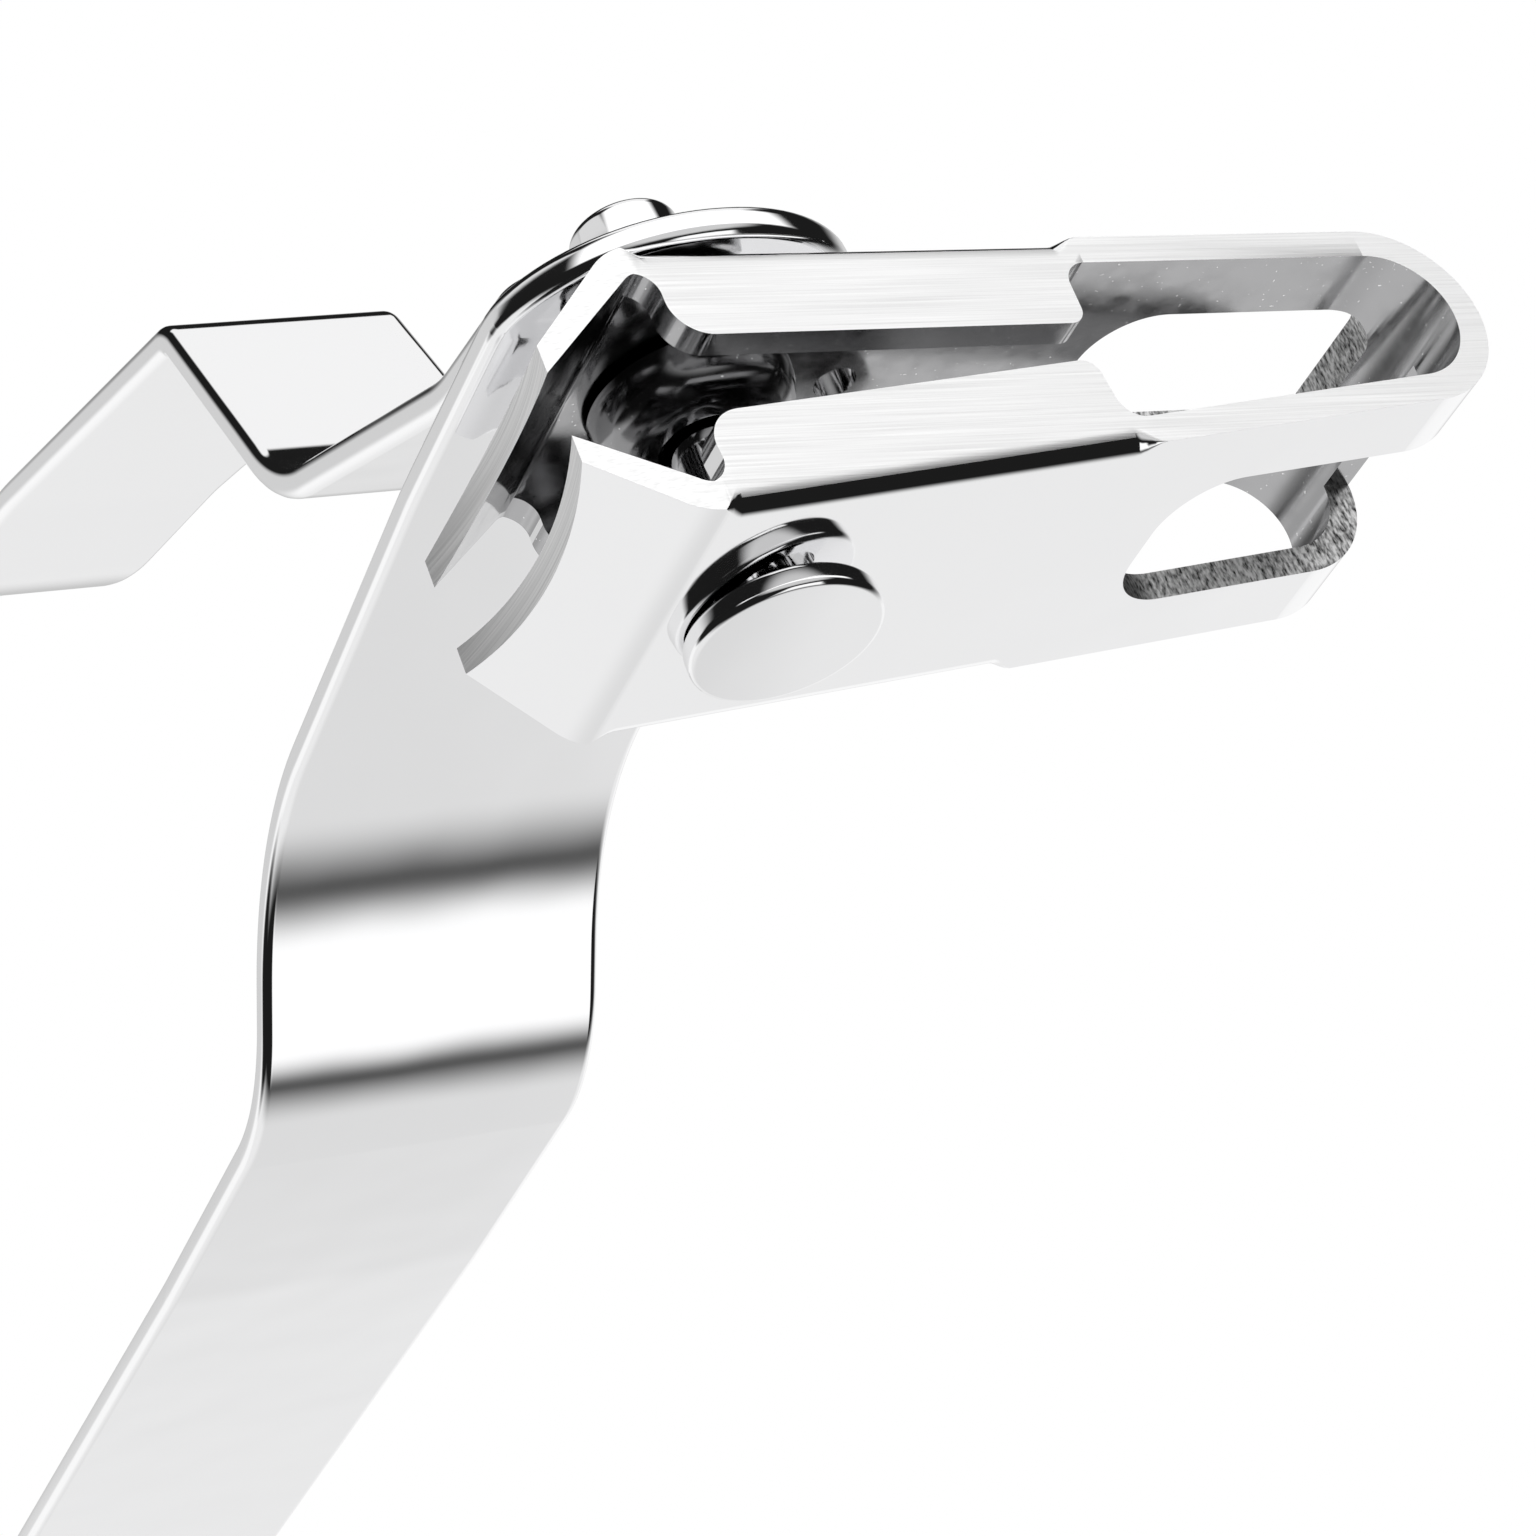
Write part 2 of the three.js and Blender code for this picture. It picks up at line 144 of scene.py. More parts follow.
FORK_SLOT_ROUND = FORK_SLOT / 2 - 0.05  # all but a half circle
RAMP_X = 7.5  # the fork's slope turns into the steeper ramp here
HEEL_X = 4.7
HEEL_Z = 16.3
HEEL_RADIUS = 1.25
HEEL_WIDTH = THUMB_WIDTH - 1
HEAD_BEVEL = 0.12

# Lowest and highest points of the solids that cut through each of these.
UPPER_LIMB_CUT = (HEAD_TOP - 3, HEAD_TOP + 1)
LOWER_LIMB_CUT = (-2, LOOP_Z)
BOTH_LIMBS_CUT = (-5, HEAD_TOP + 5)
BASE_LEVER_CUT = (10, 20)
HEEL_CUT = (10, 25)

ARC_STEP = 4  # degrees per facet, unless a call says otherwise
TURN_STEP = 3  # degrees per facet of a turned piece
EDGE_STEP = 15  # degrees per facet of a turned piece's rounded edges
LEVER_STEP = 2  # degrees per facet of a lever's bends


# ---------- outlines ----------


def arc(cx, cy, radius, start, end, step=ARC_STEP):
    """Points of an arc, both ends included; angles in degrees."""
    count = max(2, math.ceil(abs(end - start) / step))
    angles = [math.radians(start + (end - start) * i / count) for i in range(count + 1)]
    return [(cx + radius * math.cos(a), cy + radius * math.sin(a)) for a in angles]


def rounded_corner(before, corner, after, radius, step):
    """The arc of that radius that touches both sides of a corner."""
    point = Vector(corner)
    to_before = (Vector(before) - point).normalized()
    to_after = (Vector(after) - point).normalized()
    half = to_before.angle(to_after) / 2
    centre = point + (to_before + to_after).normalized() * radius / math.sin(half)
    first = point + to_before * radius / math.tan(half) - centre
    last = point + to_after * radius / math.tan(half) - centre
    start = math.atan2(first.y, first.x)
    sweep = math.remainder(math.atan2(last.y, last.x) - start, 2 * math.pi)
    return arc(centre.x, centre.y, radius, math.degrees(start), math.degrees(start + sweep), step)


def rounded(points, closed=True, step=ARC_STEP):
    """A line of (x, y) or (x, y, radius) points with its corners rounded."""
    result = []
    count = len(points)
    for i, (x, y, *radius) in enumerate(points):
        is_end = not closed and i in (0, count - 1)
        if is_end or not radius:
            result.append((x, y))
            continue
        before = points[i - 1][:2]
        after = points[(i + 1) % count][:2]
        result += rounded_corner(before, (x, y), after, radius[0], step)
    return result


# ---------- meshes ----------


def make_object(name, bm):
    """A mesh object in the scene, with its faces looking outwards."""
    mesh = bpy.data.meshes.new(name)
    bmesh.ops.recalc_face_normals(bm, faces=bm.faces)
    bm.to_mesh(mesh)
    bm.free()
    obj = bpy.data.objects.new(name, mesh)
    bpy.context.scene.collection.objects.link(obj)
    return obj


def stacked(rings, closed=False):
    """A solid through rings of points that all have the same count."""
    bm = bmesh.new()
    loops = [[bm.verts.new(Vector(point)) for point in ring] for ring in rings]
    pairs = list(zip(loops, loops[1:]))
    if closed:
        pairs.append((loops[-1], loops[0]))
    else:
        bm.faces.new(loops[0])
        bm.faces.new(loops[-1])
    for low, high in pairs:
        for i in range(len(low)):
            j = (i + 1) % len(low)
            bm.faces.new((low[i], low[j], high[j], high[i]))
    return bm


def prism(outline, low, high, place):
    """A closed solid with that outline; place maps (x, y, depth) to a point."""
    rings = [[place(x, y, depth) for x, y in outline] for depth in (low, high)]
    return make_object("solid", stacked(rings))


def turned(profile, closed=False):
    """A profile of (radius, z) points turned about the pin axis."""
    rings = []
    for radius, z in profile:
        circle = arc(0, 0, radius, 0, 360 - TURN_STEP, TURN_STEP)
        rings.append([(x, y, z) for x, y in circle])
    return make_object("turned", stacked(rings, closed))


def plate(outline, low, high):
    """A solid whose outline lies in x and y."""
    return prism(outline, low, high, lambda x, y, d: (x, y, d))


def across(outline, width, centre=0.0):
    """A solid whose outline lies in x and z, as wide as that in y."""
    low = centre - width / 2
    return prism(outline, low, low + width, lambda x, z, d: (x, d, z))


def rod(radius, low, high, x=0.0, y=0.0):
    """An upright cylinder."""
    return plate(arc(x, y, radius, 0, 360 - ARC_STEP), low, high)


def moved(obj, matrix):
    """The object with its mesh transformed, its faces still looking outwards."""
    obj.data.transform(matrix)
    if matrix.determinant() < 0:
        obj.data.flip_normals()
    return obj


def combined(obj, operation, *others):
    """The first solid after others are added to it or cut from it."""
    for other in others:
        modifier = obj.modifiers.new("combine", "BOOLEAN")
        modifier.operation = operation
        modifier.solver = "EXACT"
        modifier.object = other
    graph = bpy.context.evaluated_depsgraph_get()
    mesh = bpy.data.meshes.new_from_object(obj.evaluated_get(graph))
    obj.modifiers.clear()
    obj.data = mesh
    for other in others:
        bpy.data.objects.remove(other)
    return obj


# ---------- the clipper head ----------


def lip_bend_cutter(side):
    """What a lip's bend takes off the strip's corner, dying out at both ends."""
    edge = STRIP_WIDTH / 2
    over = 0.5  # how far the cutter stands proud of the strip
    steps = 6
    faint = 0.02  # what is left of the bend at its very ends
    rings = []
    for i in range(2 * steps):
        t = min(i, 2 * steps - 1 - i) / (steps - 1)
        radius = LIP_BEND * (faint + (1 - faint) * t * t * (3 - 2 * t))
        end = LIP_START if i < steps else LIP_END
        x = end + (LIP_RUN_OUT if i >= steps else -LIP_RUN_OUT) * (1 - t)
        bend = arc(edge - radius, radius, radius, 0, -90, step=10)
        corner = [(edge + over, radius), *bend, (edge - radius, -over), (edge + over, -over)]
        rings.append([(x, side * y, z) for y, z in corner])
    return make_object("solid", stacked(rings))


def limb_solid(reach):
    """One limb with its lips, x along it from the pin, z in from its outer face."""
    far_x = JAW_TIP_X - 2  # past the tip, where head_solid cuts the jaws off
    inner_ridge = RIDGE_X + STRIP_THICKNESS * math.tan(JAW_SLOPE / 2)
    inner_end = STRIP_THICKNESS + (inner_ridge - far_x) * math.tan(JAW_INNER_SLOPE)
    blank = across(
        rounded(
            [
                (far_x, (RIDGE_X - far_x) * math.tan(JAW_SLOPE)),
                (RIDGE_X, 0, RIDGE_ROUND),
                (reach, 0),
                (reach, STRIP_THICKNESS),
                (inner_ridge, STRIP_THICKNESS, INNER_RIDGE_ROUND),
                (far_x, inner_end),
            ]
        ),
        STRIP_WIDTH,
    )
    lip = rounded(
        [
            (LIP_START - LIP_RUN_OUT, STRIP_THICKNESS / 2),
            (LIP_END + LIP_RUN_OUT, STRIP_THICKNESS / 2),
            (LIP_END + LIP_RUN_OUT, STRIP_THICKNESS),
            (LIP_END, STRIP_THICKNESS, LIP_FILLET),
            (LIP_END, LIP_HEIGHT, LIP_END_ROUND),
            (LIP_START, LIP_HEIGHT, LIP_START_ROUND),
            (LIP_START, STRIP_THICKNESS, LIP_FILLET),
            (LIP_START - LIP_RUN_OUT, STRIP_THICKNESS),
        ]
    )
    lip_centre = (STRIP_WIDTH - STRIP_THICKNESS) / 2
    lips = [across(lip, STRIP_THICKNESS, side * lip_centre) for side in (-1, 1)]
    cutters = [lip_bend_cutter(side) for side in (-1, 1)]
    combined(blank, "UNION", *lips)
    return combined(blank, "DIFFERENCE", *cutters)


def slot_outline(end, corner):
    """The opening behind the pin, out to that end with that corner radius."""
    half = SLOT_WIDTH / 2
    return rounded(
        [
            (SLOT_START, -half, SLOT_CORNER),
            (end, -half, corner),
            (end, half, corner),
            (SLOT_START, half, SLOT_CORNER),
        ]
    )


def head_solid():
    """The whole folded strip in head x, y and row z."""
    upper = moved(
        limb_solid(LOOP_X),
        Matrix.Translation((0, 0, HEAD_TOP)) @ Matrix.Scale(-1, 4, (0, 0, 1)),
    )
    lower_face = LOOP_Z - LOOP_RADIUS / math.cos(SPLAY) - LOOP_X * math.tan(SPLAY)
    sloped_reach = LOOP_X / math.cos(SPLAY) + LOOP_RADIUS * math.tan(SPLAY)
    lower = moved(
        limb_solid(sloped_reach),
        Matrix.Translation((0, 0, lower_face)) @ Matrix.Rotation(-SPLAY, 4, "Y"),
    )
    start = math.degrees(SPLAY) - 90
    outer = arc(LOOP_X, LOOP_Z, LOOP_RADIUS, start, 90)
    inner = arc(LOOP_X, LOOP_Z, LOOP_RADIUS - STRIP_THICKNESS, 90, start)
    loop = across(outer + inner, STRIP_WIDTH)
    head = combined(upper, "UNION", loop, lower)
    half_tip = JAW_TIP_WIDTH / 2
    inner_face = HEAD_TOP - STRIP_THICKNESS
    dimple_cut = (inner_face - DIMPLE_ROOM, inner_face + DIMPLE_DEPTH)
    # The cutting edges are hollowed by a wheel that takes off all beyond them.
    wheel = (half_tip**2 + JAW_SAGITTA**2) / (2 * JAW_SAGITTA)
    wheel_x = JAW_TIP_X + JAW_SAGITTA - wheel
    cutters = [
        rod(BUSH_HOLE, *UPPER_LIMB_CUT),
        rod(DIMPLE_RADIUS, *dimple_cut, DIMPLE_X, DIMPLE_Y),
        rod(PIN_RADIUS + PIN_CLEARANCE, *LOWER_LIMB_CUT),
        plate(slot_outline(UPPER_SLOT_END, UPPER_SLOT_CORNER), *UPPER_LIMB_CUT),
        plate(slot_outline(LOWER_SLOT_END, LOWER_SLOT_CORNER), *LOWER_LIMB_CUT),
        plate(arc(wheel_x, 0, wheel, -WHEEL_SWEEP, WHEEL_SWEEP, step=1), *BOTH_LIMBS_CUT),
    ]
    lean = (STRIP_WIDTH / 2 - half_tip) / (SHOULDER_X - JAW_TIP_X)
    past_tip = 3
    far_x = JAW_TIP_X - past_tip
    taper = rounded(
        [
            (LIP_START, STRIP_WIDTH / 2),
            (LIP_START, STRIP_WIDTH),
            (far_x, STRIP_WIDTH),
            (far_x, half_tip - past_tip * lean),
            (SHOULDER_X, STRIP_WIDTH / 2, SHOULDER_ROUND),
        ]
    )
    for side in (-1, 1):
        cutters.append(plate([(x, side * y) for x, y in taper], *BOTH_LIMBS_CUT))
    return combined(head, "DIFFERENCE", *cutters)


# ---------- turned pieces ----------


def round_edge(radius, z, rounding, start):
    """A quarter circle about that centre, the profile of a rounded rim."""
    return arc(radius, z, rounding, start, start + 90, EDGE_STEP)


def draw_pin():
    head_middle = PIN_HEAD_RADIUS - PIN_HEAD_ROUND
    button_round = BUTTON_TOP - BUTTON_RIM
    return turned(
        [
            (PIN_MIDDLE, 0),
            *round_edge(head_middle, PIN_HEAD_ROUND, PIN_HEAD_ROUND, -90),
            *round_edge(head_middle, PIN_HEAD_HEIGHT - PIN_HEAD_ROUND, PIN_HEAD_ROUND, 0),
            (PIN_RADIUS, PIN_HEAD_HEIGHT),
            (PIN_RADIUS, NECK_START),
            (NECK_RADIUS, NECK_START + NECK_TAPER),
            (NECK_RADIUS, BUTTON_BASE),
            (BUTTON_RADIUS, BUTTON_BASE),
            *round_edge(BUTTON_RADIUS - button_round, BUTTON_RIM, button_round, 0),
            (PIN_MIDDLE, BUTTON_TOP),
        ]
    )


def swivel_bush():
    flange_middle = BUSH_FLANGE - BUSH_FLANGE_ROUND
    flange_top = HEAD_TOP - STRIP_THICKNESS - SMALL_GAP
    shoulder_base = HEAD_TOP + SMALL_GAP
    shoulder_top = BASE_TOP - BASE_THICKNESS - SMALL_GAP
    return turned(
        [
            (BUSH_BORE, BUSH_BOTTOM),
            *round_edge(flange_middle, BUSH_BOTTOM + BUSH_FLANGE_ROUND, BUSH_FLANGE_ROUND, -90),
            (BUSH_FLANGE, flange_top),
            (BUSH_RADIUS, flange_top),
            (BUSH_RADIUS, shoulder_base),
            (BUSH_SHOULDER, shoulder_base),
            (BUSH_SHOULDER, shoulder_top),
            (BUSH_RADIUS, shoulder_top),
            (BUSH_RADIUS, BUSH_TOP),
            (BUSH_BORE, BUSH_TOP),
        ],
        closed=True,
    )


# ---------- levers ----------


def path_frames(line):
    """Arc length, point and unit normal along a side line of (x, z) points."""
    frames = []
    length = 0.0
    for i, point in enumerate(line):
        here = Vector(point)
        if i:
            length += (here - Vector(line[i - 1])).length
        ahead = Vector(line[min(i + 1, len(line) - 1)])
        behind = Vector(line[max(i - 1, 0)])
        tangent = (ahead - behind).normalized()
        frames.append((length, here, Vector((-tangent.y, tangent.x))))
    return frames


def bent(frames, s, v, n):
    """Where the flat plate's point (s, v, n) lands on the bent lever."""
    k = 1
    while k < len(frames) - 1 and frames[k][0] < s:
        k += 1
    s0, p0, n0 = frames[k - 1]
    s1, p1, n1 = frames[k]
    w = (s - s0) / (s1 - s0)
    point = p0.lerp(p1, w)
    normal = n0.lerp(n1, min(max(w, 0), 1)).normalized()
    return Vector((point.x + normal.x * n, v, point.y + normal.y * n))


def inset(outline, distance):
    """The closed outline moved in square to itself, corners kept."""
    least = 0.5  # a sharp corner moves at most twice the distance
    result = []
    count = len(outline)
    for i in range(count):
        before = Vector(outline[i - 1])
        here = Vector(outline[i])
        after = Vector(outline[(i + 1) % count])
        a = (here - before).normalized()
        b = (after - here).normalized()
        normal = (Vector((-a.y, a.x)) + Vector((-b.y, b.x))).normalized()
        stretch = max(normal.dot(Vector((-a.y, a.x))), least)
        result.append(tuple(here + normal * distance / stretch))
    return result


def bent_plate(outline, line, thickness, edge):
    """A strip with rounded edges: a flat outline in s and v, bent along a line
    that runs in its upper face."""
    facets = 5
    rim = []
    for i in range(facets + 1):
        angle = math.pi / 2 * i / facets
        rim.append((edge * (1 - math.sin(angle)), edge * math.cos(angle) - edge))
    levels = [(inward, -thickness - height) for inward, height in rim]
    levels += reversed(rim)
    rings = []
    for inward, height in levels:
        ring = inset(outline, inward) if inward else outline
        rings.append([(x, y, height) for x, y in ring])
    bm = stacked(rings)
    frames = path_frames(line)
    for s, _, _ in frames[1:-1]:
        geometry = bm.verts[:] + bm.edges[:] + bm.faces[:]
        bmesh.ops.bisect_plane(bm, geom=geometry, plane_co=(s, 0, 0), plane_no=(1, 0, 0))
    for vert in bm.verts:
        vert.co = bent(frames, *vert.co)
    return make_object("plate", bm)


def base_lever():
    """Dipped nose, level part round the pin, step down, then the rising grip."""
    line = rounded(
        [
            (BASE_NOSE_X, BASE_TOP - BASE_NOSE_DROP),
            (-1.5, BASE_TOP, 12),
            (33.2, BASE_TOP + 0.3, 18),
            (42.6, 7.1, 9),
            (60, 8.15, 60),
            (BASE_END + BASE_OVERRUN, 12.5),
        ],
        closed=False,
        step=LEVER_STEP,
    )
    end = path_frames(line)[-1][0] - END_TRIM
    taper = BASE_TAPER_X - BASE_NOSE_X
    half = BASE_WIDTH / 2
    outline = rounded(
        [
            (0, -BASE_NOSE_HALF, BASE_NOSE_ROUND),
            (taper, -half, BASE_TAPER_ROUND),
            (end, -half, BASE_TAIL_ROUND),
            (end, half, BASE_TAIL_ROUND),
            (taper, half, BASE_TAPER_ROUND),
            (0, BASE_NOSE_HALF, BASE_NOSE_ROUND),
        ]
    )
    lever = bent_plate(outline, line, BASE_THICKNESS, BASE_EDGE)
    return combined(lever, "DIFFERENCE", rod(BUSH_HOLE, *BASE_LEVER_CUT))


def thumb_lever():
    """Sloping fork over the heel, ramp, steep riser, then the handle."""
    line = rounded(
        [
            (FORK_END, FORK_TOP),
            (RAMP_X, FORK_TOP + (RAMP_X - FORK_END) * FORK_SLOPE, 8),
            (24.3, 26.6, 8),
            (30.2, 39.6, 2.4),
            (55, 49.6, 40),
            (70, 54.8, 26),
            (84, 65.5),
        ],
        closed=False,
        step=LEVER_STEP,
    )
    end = path_frames(line)[-1][0] - END_TRIM
    half = THUMB_WIDTH / 2
    slot = FORK_SLOT / 2
    depth = FORK_DEPTH - FORK_END
    outline = rounded(
        [
            (0, -half, FORK_TIP_ROUND),
            (end, -half, THUMB_TAIL_ROUND),
            (end, half, THUMB_TAIL_ROUND),
            (0, half, FORK_TIP_ROUND),
            (0, slot, FORK_CORNER),
            (depth, slot, FORK_SLOT_ROUND),
            (depth, -slot, FORK_SLOT_ROUND),
            (0, -slot, FORK_CORNER),
        ]
    )
    lever = bent_plate(outline, line, THUMB_THICKNESS, THUMB_EDGE)
    heel = across(arc(HEEL_X, HEEL_Z, HEEL_RADIUS, 0, 360 - ARC_STEP), HEEL_WIDTH)
    slot_cut = rod(slot, *HEEL_CUT, x=FORK_DEPTH - slot)
    heel = combined(heel, "DIFFERENCE", slot_cut)
    return combined(lever, "UNION", heel)


# ---------- materials ----------


EVEN = (1, 1, 1)  # noise that is not drawn out in any direction
NOISE_LOW = 0.3  # a noise texture mostly stays between these two values
NOISE_HIGH = 0.7


def new_material(name):
    """A new material with its nodes, links and main shader."""
    material = bpy.data.materials.new(name)
    material.use_nodes = True
    nodes = material.node_tree.nodes
    return material, nodes, material.node_tree.links, nodes["Principled BSDF"]


def add_node(nodes, kind, **values):
    """A node with those values set on its inputs or, failing that, itself."""
    node = nodes.new(kind)
    for name, value in values.items():
        if name in node.inputs:
            node.inputs[name].default_value = value
        else:
            setattr(node, name, value)
    return node


def stretched_noise(nodes, links, stretch, scale, detail=4.0):
    """Noise drawn out by the given stretch along the head's x, y and z."""
    coordinates = nodes.new("ShaderNodeTexCoord")
    mapping = add_node(nodes, "ShaderNodeMapping", vector_type="TEXTURE", Scale=stretch)
    mapping.inputs["Rotation"].default_value = (0, 0, HEAD_TURN)
    noise = add_node(nodes, "ShaderNodeTexNoise", Scale=scale, Detail=detail)
    links.new(coordinates.outputs["Object"], mapping.inputs["Vector"])
    links.new(mapping.outputs["Vector"], noise.inputs["Vector"])
    return noise


def ranged(nodes, links, source, low, high):
    """The noise stretched to run from low to high."""
    ramp = add_node(nodes, "ShaderNodeMapRange")
    ramp.inputs["From Min"].default_value = NOISE_LOW
    ramp.inputs["From Max"].default_value = NOISE_HIGH
    ramp.inputs["To Min"].default_value = low
    ramp.inputs["To Max"].default_value = high
    links.new(source, ramp.inputs["Value"])
    return ramp.outputs["Result"]


def bumped(nodes, links, shader, height, strength, distance):
    """Lets the height tilt what the shader reflects."""
    bump = add_node(nodes, "ShaderNodeBump", Strength=strength, Distance=distance)
    links.new(height, bump.inputs["Height"])
    links.new(bump.outputs["Normal"], shader.inputs["Normal"])


def chrome(name, tint, rough_low, rough_high, wave=0.15):
    """Mirror chrome with slow waves in it and a slightly uneven polish."""
    material, nodes, links, shader = new_material(name)
    shader.inputs["Metallic"].default_value = 1.0
    shader.inputs["Base Color"].default_value = (*tint, 1)
    marks = stretched_noise(nodes, links, EVEN, scale=900.0, detail=6.0)
    roughness = ranged(nodes, links, marks.outputs["Fac"], rough_low, rough_high)
    links.new(roughness, shader.inputs["Roughness"])
    waves = stretched_noise(nodes, links, EVEN, scale=160.0, detail=1.0)
    bumped(nodes, links, shader, waves.outputs["Fac"], strength=wave, distance=0.0004)
    return material


def two_tone(nodes, links, source, dark, dark_to, light, light_from):
    """A colour that turns from dark to light as the source rises."""
    ramp = nodes.new("ShaderNodeValToRGB")
    ramp.color_ramp.elements[0].position = dark_to
    ramp.color_ramp.elements[0].color = (*dark, 1)
    ramp.color_ramp.elements[1].position = light_from
    ramp.color_ramp.elements[1].color = (*light, 1)
    links.new(source, ramp.inputs["Fac"])
    return ramp.outputs["Color"]


def dusty(material, tint):
    """Scatters small bright specks over a dark polished finish."""
    nodes = material.node_tree.nodes
    links = material.node_tree.links
    speck = (0.95, 0.95, 0.95)
    dust = stretched_noise(nodes, links, EVEN, scale=5200.0, detail=2.0)
    colour = two_tone(nodes, links, dust.outputs["Fac"], tint, 0.7, speck, 0.74)
    links.new(colour, nodes["Principled BSDF"].inputs["Base Color"])


def ground_steel(name, tint, stretch, shade):
    """Steel with fine grinding lines; the lines are tint times shade."""
    material, nodes, links, shader = new_material(name)
    shader.inputs["Metallic"].default_value = 1.0
    lines = stretched_noise(nodes, links, stretch, scale=16000.0, detail=5.0)
    height = lines.outputs["Fac"]
    shaded = [c * shade for c in tint]
    colour = two_tone(nodes, links, height, shaded, 0.3, tint, 0.62)
    links.new(colour, shader.inputs["Base Color"])
    links.new(ranged(nodes, links, height, 0.5, 0.36), shader.inputs["Roughness"])
    bumped(nodes, links, shader, height, strength=0.25, distance=0.00002)
    return material


outer_chrome = chrome("outer_chrome", (0.93, 0.93, 0.935), 0.03, 0.06)
lever_chrome = chrome("lever_chrome", (0.92, 0.92, 0.925), 0.04, 0.075)
pin_chrome = chrome("pin_chrome", (0.9, 0.9, 0.905), 0.04, 0.08)
inner_tint = (0.46, 0.46, 0.465)
inner_steel = chrome("inner_steel", inner_tint, 0.08, 0.2, wave=0.08)
dusty(inner_steel, inner_tint)
bush_tint = (0.3, 0.3, 0.305)
bush_steel = chrome("bush_steel", bush_tint, 0.08, 0.2, wave=0.02)
dusty(bush_steel, bush_tint)
pale_tint = (0.98, 0.98, 0.98)
edge_steel = ground_steel("edge_steel", pale_tint, stretch=(150, 1, 1), shade=0.92)
front_steel = ground_steel("front_steel", pale_tint, stretch=(60, 260, 1), shade=0.8)
punched_steel = ground_steel("punched_steel", (0.7, 0.7, 0.7), stretch=(2, 2, 5), shade=0.03)


BEVEL_ANGLE = math.radians(35)
SHARP_ANGLE = math.radians(30)


def smooth(obj, bevel=0.0):
    """Shades curved faces smooth and flat ones flat; a bevel rounds the edges."""
    if bevel:
        modifier = obj.modifiers.new("edges", "BEVEL")
        modifier.width = bevel * MM
        modifier.segments = 3
        modifier.material = 0  # a bevelled edge takes the head's chrome
        modifier.limit_method = "ANGLE"
        modifier.angle_limit = BEVEL_ANGLE
    for face in obj.data.polygons:
        face.use_smooth = True
    obj.data.set_sharp_from_angle(angle=SHARP_ANGLE)
    obj.modifiers.new("normals", "WEIGHTED_NORMAL").keep_sharp = True
    return obj


SIDE_SLACK = 0.3  # how far off its expected place a face may lie
SLOT_SLACK = 0.1


def head_finish(middle, normal):
    """The finish of the head's face that has that middle and normal."""
    faces_sideways = abs(normal.y) > 0.9
    faces_forward = normal.x < -0.85
    stands_upright = abs(normal.z) < 0.4
    if faces_sideways and abs(middle.y) > JAW_TIP_WIDTH / 2 - SIDE_SLACK:
        return edge_steel
    if faces_forward and middle.x < JAW_TIP_X + JAW_SAGITTA + SIDE_SLACK:
        return front_steel
    if middle.x > SLOT_START - SLOT_SLACK and abs(middle.y) < SLOT_WIDTH / 2 + SLOT_SLACK:
        before_end = middle.x < UPPER_SLOT_END + SLOT_SLACK
        if faces_sideways or (stands_upright and before_end):
            return punched_steel
    if middle.x < LOOP_X:
        inward = normal.z * (LOOP_Z - middle.z) > 0
    else:
        from_centre = math.hypot(middle.x - LOOP_X, middle.z - LOOP_Z)
        inward = from_centre < LOOP_RADIUS - STRIP_THICKNESS / 2
    return inner_steel if inward else outer_chrome


def finish_head(head):
    """Gives each face of the head the finish of its side of the strip."""
    finishes = [outer_chrome, inner_steel, edge_steel, front_steel, punched_steel]
    head.data.materials.clear()
    for finish in finishes:
        head.data.materials.append(finish)
    for face in head.data.polygons:
        face.material_index = finishes.index(head_finish(face.center, face.normal))


# ---------- pieces ----------


def into_row(obj, name, turn=0.0):
    """Names the piece and takes its mesh to metres in the row frame."""
    moved(obj, Matrix.Scale(MM, 4) @ Matrix.Rotation(turn, 4, "Z"))
    obj.name = name
    return obj


head = head_solid()
finish_head(head)
smooth(into_row(head, "clipper_head", HEAD_TURN), HEAD_BEVEL)
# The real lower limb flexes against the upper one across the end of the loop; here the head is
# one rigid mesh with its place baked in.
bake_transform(head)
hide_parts("upper_limb", "lower_limb")

base = smooth(into_row(base_lever(), "base_lever_strip"))
base.data.materials.append(lever_chrome)
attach(base, "base")
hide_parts("base_lever")

thumb = smooth(into_row(thumb_lever(), "thumb_lever_strip"))
thumb.data.materials.append(lever_chrome)
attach(thumb, "thumb")
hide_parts("thumb_lever")

pin = smooth(into_row(draw_pin(), "draw_pin_turned"))
pin.data.materials.append(pin_chrome)
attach(pin, "pin")
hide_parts("draw_pin")

bush = smooth(into_row(swivel_bush(), "swivel_bush_turned"))
bush.data.materials.append(bush_steel)
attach(bush, "base")
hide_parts("swivel_bush")

# ---------- floor, light and camera ----------


FLOOR_SIZE = 30.0  # metres, so that its edge is out of sight
FLOOR_DROP = 0.35  # metres below the pin head


def add_floor():
    """A pale floor that the chrome does not reflect."""
    bm = bmesh.new()
    bmesh.ops.create_grid(bm, x_segments=1, y_segments=1, size=FLOOR_SIZE)
    floor = make_object("floor", bm)
    floor.location.z = -FLOOR_DROP
    material, nodes, links, shader = new_material("pale_floor")
    grain = stretched_noise(nodes, links, EVEN, scale=300.0)
    links.new(ranged(nodes, links, grain.outputs["Fac"], 0.5, 0.6), shader.inputs["Roughness"])
    shader.inputs["Base Color"].default_value = (0.9, 0.9, 0.9, 1)
    floor.data.materials.append(material)
    floor.visible_glossy = False


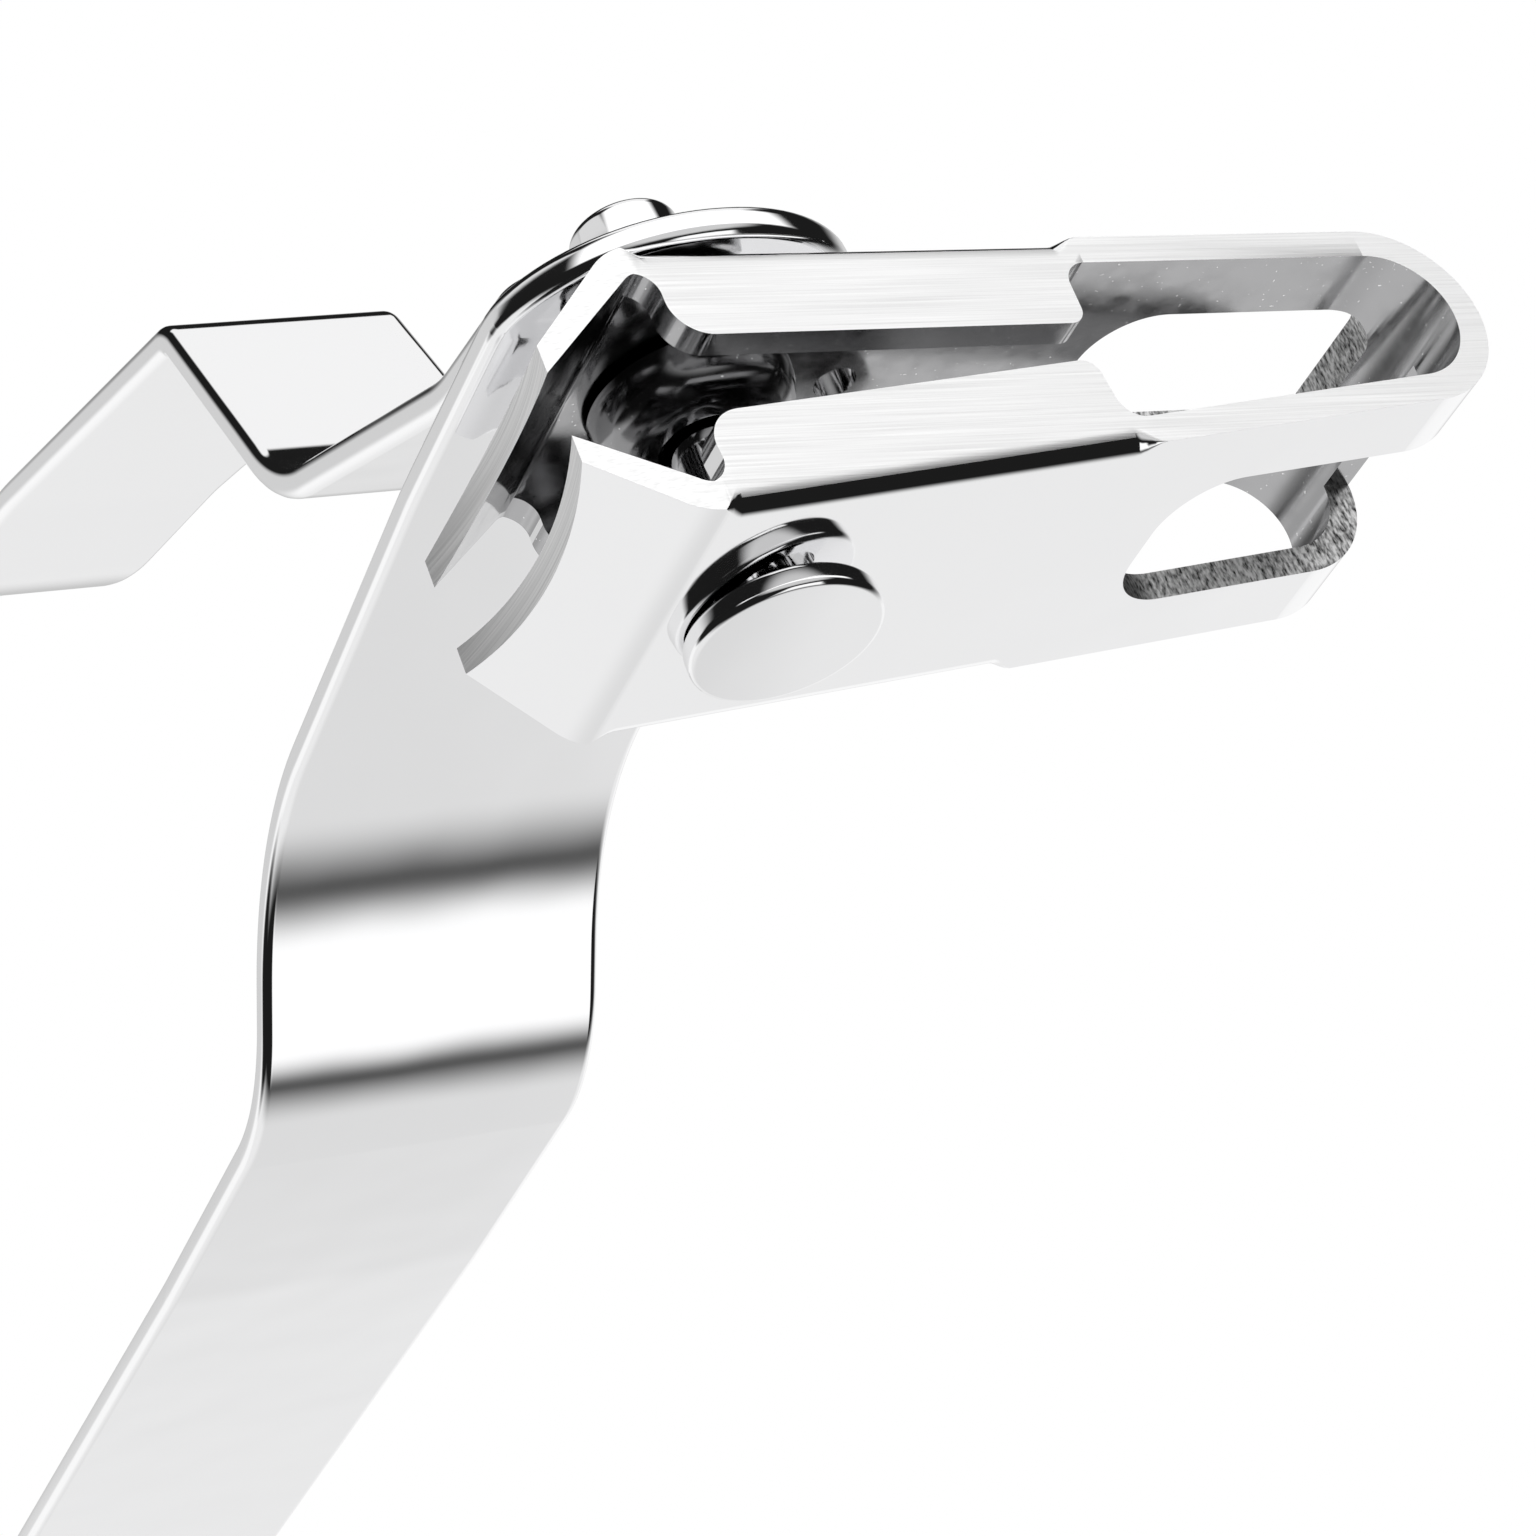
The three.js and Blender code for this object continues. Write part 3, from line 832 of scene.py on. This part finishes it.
def add_world():
    """What the chrome reflects, by direction: a white sweep towards +X, soft boxes
    below, above, behind and beside, and a room that is dim except towards -X.
    Camera and diffuse rays meet plain white instead."""
    world = bpy.data.worlds.new("studio")
    bpy.context.scene.world = world
    world.use_nodes = True
    nodes = world.node_tree.nodes
    links = world.node_tree.links
    split = nodes.new("ShaderNodeSeparateXYZ")
    links.new(nodes.new("ShaderNodeTexCoord").outputs["Generated"], split.inputs["Vector"])

    def step(axis, low, high, to_min=0.0, to_max=1.0):
        """Eases from to_min to to_max as the direction's part goes low to high."""
        ramp = nodes.new("ShaderNodeMapRange")
        ramp.interpolation_type = "SMOOTHSTEP"
        links.new(split.outputs[axis], ramp.inputs["Value"])
        ramp.inputs["From Min"].default_value = low
        ramp.inputs["From Max"].default_value = high
        ramp.inputs["To Min"].default_value = to_min
        ramp.inputs["To Max"].default_value = to_max
        return ramp.outputs["Result"]

    def joined(operation, *values):
        """The values put together one after another by a math operation."""
        result = values[0]
        for value in values[1:]:
            node = add_node(nodes, "ShaderNodeMath", operation=operation)
            links.new(result, node.inputs[0])
            links.new(value, node.inputs[1])
            result = node.outputs["Value"]
        return result

    sweep_dip = joined(
        "MAXIMUM",
        step("Y", -0.5, -0.36, 0.88, 0.77),
        step("Y", -0.34, 0.3, 0.77, 0.9),
    )
    sweep = joined(
        "MULTIPLY",
        step("X", 0.08, 0.54),
        sweep_dip,
        step("Z", 0.15, 0.45, 1.0, 0.66),
        step("Z", 0.8, 0.62),
        step("Y", 0.85, 0.7),
        step("Z", -0.36, -0.2, 1.0, 1.13),
    )
    box_below = joined(
        "MULTIPLY",
        step("X", 0.2, -0.14),
        step("X", -0.62, -0.5),
        step("Y", -0.5, -0.44),
        step("Y", 0.05, -0.1),
        step("Z", -0.55, -0.7, 0.0, 1.1),
    )
    box_above = joined(
        "MULTIPLY",
        step("X", 0.12, 0.04),
        step("Y", -0.62, -0.5),
        step("Y", 0.3, 0.15),
        step("Z", 0.45, 0.6, 0.0, 0.97),
    )
    box_behind = joined(
        "MULTIPLY",
        step("X", -0.35, -0.55),
        step("Z", 0.0, 0.2, 0.0, 1.25),
        step("Z", 0.95, 0.8),
    )
    box_beside = joined("MULTIPLY", step("Y", 0.6, 0.68), step("Z", 0.5, 0.6, 0.0, 0.75))
    boxes = joined("MAXIMUM", box_above, box_behind, box_beside)
    room = step("X", -0.7, -0.9, 0.012, 0.65)
    studio = joined("MAXIMUM", joined("ADD", sweep, box_below), boxes, room)
    seen = nodes.new("ShaderNodeMix")
    path = nodes.new("ShaderNodeLightPath")
    plain = joined("MAXIMUM", path.outputs["Is Camera Ray"], path.outputs["Is Diffuse Ray"])
    links.new(plain, seen.inputs["Factor"])
    links.new(studio, seen.inputs["A"])
    seen.inputs["B"].default_value = 1.0
    links.new(seen.outputs["Result"], nodes["Background"].inputs["Color"])


def add_camera():
    """The camera at the picture's own place: low, in front and rolled."""
    place = Vector((-120.84, 71.54, -77.87)) * MM
    forward = Vector((0.76936, -0.43873, 0.4643))
    roll = math.radians(-21.7)
    data = bpy.data.cameras.new("camera")
    data.sensor_width = 36.0
    data.lens = 107.04
    data.clip_start = 0.005
    camera = bpy.data.objects.new("camera", data)
    bpy.context.scene.collection.objects.link(camera)
    camera.location = place
    camera.rotation_mode = "QUATERNION"
    turn = Matrix.Rotation(roll, 4, "Z").to_quaternion()
    camera.rotation_quaternion = forward.to_track_quat("-Z", "Y") @ turn
    bpy.context.scene.camera = camera


add_floor()
add_world()
add_camera()
bpy.context.scene.view_settings.view_transform = "Standard"
